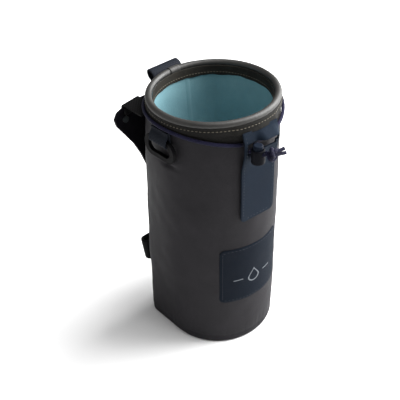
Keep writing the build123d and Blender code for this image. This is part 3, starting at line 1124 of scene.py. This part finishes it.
route = [on_cord(loop_start, cord_reach(loop_start))]
for i in range(cord_points):
    turn = loop_start + (i + 0.5) * step
    route.append(on_cord(turn, swing * cord_reach(turn)))
route.append(on_cord(loop_end, cord_reach(loop_end)))
bm = cord_mesh("draw_cord_loop", [route], cord_radius)
make_piece("draw_cord_loop", bm, cord_braid, "cord", ("draw_cord",))

# %% [markdown]
# ## The cord's ends, its knot and tails
# Both ends come out of the slot, pass through the lock side by side, and are tied in one
# tight knot with two short tails. The knot follows a trefoil line, which is what a plain
# overhand knot really is, so the turns cross each other as they do in a tied cord.

# %% Knot
lock_low, lock_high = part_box("cord_lock_body")
lock_axis = (lock_low + lock_high) / 2
knot_low, knot_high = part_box("cord_knot")
knot_middle = (knot_low + knot_high) / 2
away = (knot_middle - lock_axis).xy.normalized()
ahead = Vector((away.x, away.y, 0))
sideways = Vector((-away.y, away.x, 0))
knot_line = []
knot_points = 18
for i in range(knot_points):
    t = 2 * pi * i / knot_points
    reach = (2.1 + cos(3 * t)) * 1.38 * mm
    knot_line.append(
        knot_middle
        + sideways * reach * cos(2 * t)
        + Vector((0, 0, 1)) * reach * sin(2 * t)
        + ahead * 1.5 * mm * sin(3 * t)
    )
bm = cord_mesh("knot", [knot_line], 1.45 * mm, cyclic=True)
make_piece("cord_knot_tied", bm, cord_braid, "cord", ("cord_knot",))

# %% Strands and tails
tail_way = (Euler((0, 0, radians(52))).to_matrix() @ ahead).normalized()
hole_level = 187.2 * mm
lines = []
for side in (-1, 1):
    beside_lock = sideways * side * half_pair
    at_hole = Vector((lock_axis.x, lock_axis.y, hole_level))
    lines.append(
        [
            at_hole + beside_lock - ahead * 5.8 * mm,
            at_hole + beside_lock - ahead * 3.0 * mm,
            at_hole + beside_lock,
            at_hole + beside_lock + ahead * 4.0 * mm,
            at_hole + beside_lock * 0.9 + ahead * 6.0 * mm + Vector((0, 0, 0.6 * mm)),
            knot_middle + beside_lock * 0.5 - ahead * 1.5 * mm,
        ]
    )
    lift = Vector((0, 0, -side * 1.4 * mm))
    lines.append(
        [
            knot_middle + lift * 0.5,
            knot_middle + tail_way * 4 * mm + lift,
            knot_middle + tail_way * 6.5 * mm + lift * 1.1,
            knot_middle + tail_way * (9.2 + 0.6 * side) * mm + lift * 1.35,
        ]
    )
bm = cord_mesh("cord_ends", lines, cord_radius)
make_piece("cord_ends", bm, cord_braid, "cord", ("cord_strands", "cord_tails"))

# %% [markdown]
# ## Webbing
# A strap is a band of constant width that follows a path. `web` cuts a flat grid, reads
# where each row falls on the path, and lays the row across it. The path is given by a
# few points and eased by cutting its corners a few times, as Chaikin's method does.


# %% Webbing helper
def ease(points, times):
    """Rounds a line of points by cutting each corner."""
    points = [Vector(p) for p in points]
    for _ in range(times):
        cut = [points[0]]
        for a, b in zip(points, points[1:]):
            cut += [a.lerp(b, 0.25), a.lerp(b, 0.75)]
        points = cut + [points[-1]]
    return points


def line_lengths(points):
    """How far along a line of points each of them lies."""
    lengths = [0.0]
    for a, b in zip(points, points[1:]):
        lengths.append(lengths[-1] + (b - a).length)
    return lengths


def on_line(points, lengths, length):
    """The place at a length along a line of points."""
    i = 1
    while i < len(lengths) - 1 and lengths[i] < length:
        i += 1
    share = (length - lengths[i - 1]) / (lengths[i] - lengths[i - 1])
    return points[i - 1].lerp(points[i], share)


def web(name, points, width, across, thickness, material, slot, stands_for, trim=None):
    """A strap whose middle line runs through points; across is its direction of width."""
    lengths = line_lengths(points)
    rows = int(lengths[-1] / (0.8 * mm))
    bm = cut_cloth(width, 0, lengths[-1], int(width / (2 * mm)), rows)

    def place(x, y):
        point = on_line(points, lengths, y) + across * x
        return trim(point) if trim else point

    bend(bm, place)
    piece = make_piece(name, bm, material, slot, stands_for)
    add_wall(piece, thickness, 0, 0.3 * mm)


# %% [markdown]
# ## The side tabs
# Each side ring hangs in a short piece of webbing, folded round the ring's bar and sewn
# to the wall above it. The ring itself is a moulded part from the CAD model.

# %% Side tabs
ring_level = 189.7 * mm
bar_out = 49.716 * mm
tab_reach = 2.45 * mm
for name, side in (("left", -1), ("right", 1)):
    fold = [(bar_out - 2.1 * mm, 198.0 * mm), (bar_out - 2.35 * mm, 193.0 * mm)]
    for i in range(9):
        t = radians(180 + 22.5 * i)
        fold.append((bar_out + tab_reach * cos(t), ring_level + tab_reach * sin(t)))
    fold.append((bar_out + 1.2 * mm, 193.2 * mm))
    fold.append((bar_out - 0.8 * mm, 195.6 * mm))
    fold.append((bar_out - 0.75 * mm, 198.2 * mm))
    web(
        "side_tab_web_" + name,
        ease([(side * out, 0, level) for out, level in fold], 1),
        17 * mm,
        Vector((0, 1, 0)),
        1.25 * mm,
        navy_webbing,
        "webbing",
        ("side_tab_" + name,),
    )

# %% [markdown]
# ## The loops behind
# The upper loop is a band that runs up the back over the cord and curls into an open,
# drop-shaped tube. The lower loop is a flat ring of black webbing across the back, a
# little wider at the top. Both hold the pouch on a strap or a bar.

# %% Upper loop
plate_face = 2.9 * mm
upper_out = plate_face + 0.9 * mm
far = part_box("top_loop")[1].y
path = [
    (0, wall_back(168 * mm) + upper_out, 168.0 * mm),
    (0, wall_back(185 * mm) + upper_out, 185.0 * mm),
    (0, 51.3 * mm, 193.0 * mm),
    (0, 51.6 * mm, 199.5 * mm),
    (0, 52.6 * mm, 201.4 * mm),
    (0, far - 2.5 * mm, 202.6 * mm),
    (0, far - 0.6 * mm, 205.5 * mm),
    (0, far - 1.0 * mm, 208.9 * mm),
    (0, far - 5.0 * mm, 209.0 * mm),
    (0, 48.9 * mm, 206.0 * mm),
    (0, 48.5 * mm, 202.6 * mm),
    (0, 49.6 * mm, 200.4 * mm),
    (0, 49.8 * mm, 197.0 * mm),
]
web(
    "upper_loop_web",
    ease(path, 3),
    26.5 * mm,
    Vector((-1, 0, 0)),
    1.3 * mm,
    navy_webbing,
    "navy_webbing",
    ("top_loop",),
)

# %% Lower loop
loop_low, loop_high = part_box("lower_loop")
web_low = 45.5 * mm
web_height = 20.0 * mm
half_width = loop_high.x - 4.0 * mm
depth = 7.2 * mm
cad_webbing = 1.6 * mm
lean = (loop_high.y - loop_low.y - depth - cad_webbing) / web_height
flare = 0.055 / web_height
near = wall_back(web_low) + plate_face + 0.75 * mm
ring = []
for side, first in ((1, -90), (-1, 90)):
    for i in range(7):
        t = radians(first + 30 * i)
        x = side * (half_width - depth / 2) + depth / 2 * cos(t)
        ring.append(Vector((x, near + depth / 2 + depth / 2 * sin(t), 0)))
ring.append(ring[0])
ring_lengths = line_lengths(ring)
bm = cut_cloth(web_height, 0, ring_lengths[-1], across=10, up=200)


def lower_place(x, y):
    """x runs down the webbing's width and y round the ring."""
    point = on_line(ring, ring_lengths, y)
    up = web_height / 2 - x
    return Vector(((1 + flare * up) * point.x, point.y + lean * up, web_low + up))


bend(bm, lower_place)
lower = make_piece("lower_loop_web", bm, black_webbing, "webbing", ("lower_loop",))
add_wall(lower, 1.4 * mm, 0, 0.3 * mm)

# %% [markdown]
# ## The ear straps
# The stiff plate has two ears beside the mouth. A strap comes from the wall to each ear,
# folds over the ear's top edge and comes back through a slot in it, so the pouch hangs
# from the plate at its shoulders.

# %% Ear straps
half_strap = 0.75 * mm
shoulder_slope = 0.12
shoulder_start = 29.5 * mm


def meet_wall(point):
    """Ends the strap at the round wall and tips it with the plate's sloping shoulder."""
    point.z -= shoulder_slope * (abs(point.x) - shoulder_start)
    edge = shell_radius - 0.4 * mm
    if point.xy.length < edge:
        point.y = (edge**2 - point.x**2) ** 0.5
    return point


for name in ("left", "right"):
    strap_corner, strap_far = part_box("ear_strap_" + name)
    middle = (strap_corner.x + strap_far.x) / 2
    rear = strap_far.y - half_strap
    front = rear - 3.6 * mm
    crest = strap_far.z - half_strap
    foot = strap_corner.z + half_strap
    path = [
        (middle, strap_corner.y + 4.0 * mm, crest - 0.1 * mm),
        (middle, front - 9.0 * mm, crest - 0.3 * mm),
        (middle, front - 1.0 * mm, crest),
        (middle, rear - 1.4 * mm, crest),
        (middle, rear, crest - 1.6 * mm),
        (middle, rear, foot + 0.65 * mm),
        (middle, rear - 0.8 * mm, foot),
        (middle, front, foot + 0.15 * mm),
        (middle, front, crest - 1.9 * mm),
    ]
    web(
        "ear_strap_web_" + name,
        ease(path, 3),
        14 * mm,
        Vector((-1, 0, 0)),
        1.2 * mm,
        strap_webbing,
        "webbing",
        ("ear_strap_" + name,),
        meet_wall,
    )

# %% [markdown]
# ## The parts kept from the CAD model
# The lock, its button and spring, the side rings, the plate and its rivets already have
# their right shapes, so they only need finishes. The foam, the board and the hoop are
# hidden inside, and get plain ones.

# %% Finishes for CAD parts
cad_finishes = {
    "cord_lock_body": lock_plastic,
    "cord_lock_plunger": navy_plastic,
    "cord_lock_spring": steel,
    "side_ring_left": black_plastic,
    "side_ring_right": black_plastic,
    "back_plate": plate_skin,
    "ear_rivets": rivet_metal,
    "insulation_wall": foam_face,
    "base_insulation": foam_face,
    "base_stiffener": plate_skin,
    "rim_hoop": foam_face,
}
for name, material in cad_finishes.items():
    mesh = nodes[name].data
    mesh.materials.clear()
    mesh.materials.append(material)
print(len(cad_finishes), "CAD parts have finishes")

# %% [markdown]
# ## Studio
# A white floor and a white world surround the pouch. The world is white only to the
# camera; the light it casts is weaker, so the dark cloth stays dark. The key light
# stands to the right and behind the pouch, a broad weak one to the left, and a third one
# high above shines into the mouth. The side towards the camera stays darkest.

# %% Floor and world
floor_white = bpy.data.materials.new("floor_white")
floor_white.use_nodes = True
floor_shader = floor_white.node_tree.nodes["Principled BSDF"]
floor_shader.inputs["Base Color"].default_value = (0.92, 0.92, 0.92, 1.0)
floor_shader.inputs["Roughness"].default_value = 0.9
floor_shader.inputs["Specular IOR Level"].default_value = 0.0
bm = bmesh.new()
bmesh.ops.create_grid(bm, x_segments=1, y_segments=1, size=4.0)
floor_mesh = bpy.data.meshes.new("floor")
bm.to_mesh(floor_mesh)
bm.free()
floor_mesh.materials.append(floor_white)
floor = bpy.data.objects.new("floor", floor_mesh)
scene.collection.objects.link(floor)

world = bpy.data.worlds.new("studio")
scene.world = world
world.use_nodes = True
tree = world.node_tree
tree.nodes.clear()
seen = add_node(tree, "ShaderNodeLightPath")
white = add_node(tree, "ShaderNodeBackground", {"Color": (1, 1, 1, 1), "Strength": 1.0})
dim = add_node(tree, "ShaderNodeBackground", {"Color": (1, 1, 1, 1), "Strength": 0.28})
mixed = add_node(tree, "ShaderNodeMixShader")
tree.links.new(seen.outputs["Is Camera Ray"], mixed.inputs[0])
tree.links.new(dim.outputs[0], mixed.inputs[1])
tree.links.new(white.outputs[0], mixed.inputs[2])
add_node(tree, "ShaderNodeOutputWorld", links={"Surface": mixed.outputs[0]})
scene.view_settings.view_transform = "Standard"


# %% Lights
def panel_light(name, place, aim, size, watts):
    """A square area light that looks at a point."""
    data = bpy.data.lights.new(name, "AREA")
    data.shape = "SQUARE"
    data.size = size
    data.energy = watts
    light = bpy.data.objects.new(name, data)
    light.location = place
    way = Vector(aim) - Vector(place)
    light.rotation_euler = way.to_track_quat("-Z", "Y").to_euler()
    scene.collection.objects.link(light)


panel_light("key", (1.0, -0.35, 0.75), (0, 0, 0.11), 1.2, 62.0)
panel_light("fill", (-0.9, 0.5, 0.6), (0, 0, 0.11), 0.9, 1.8)
panel_light("top", (0.25, -0.35, 1.4), (0, 0, 0.15), 0.6, 12.0)
print(len(bpy.data.lights), "lights")
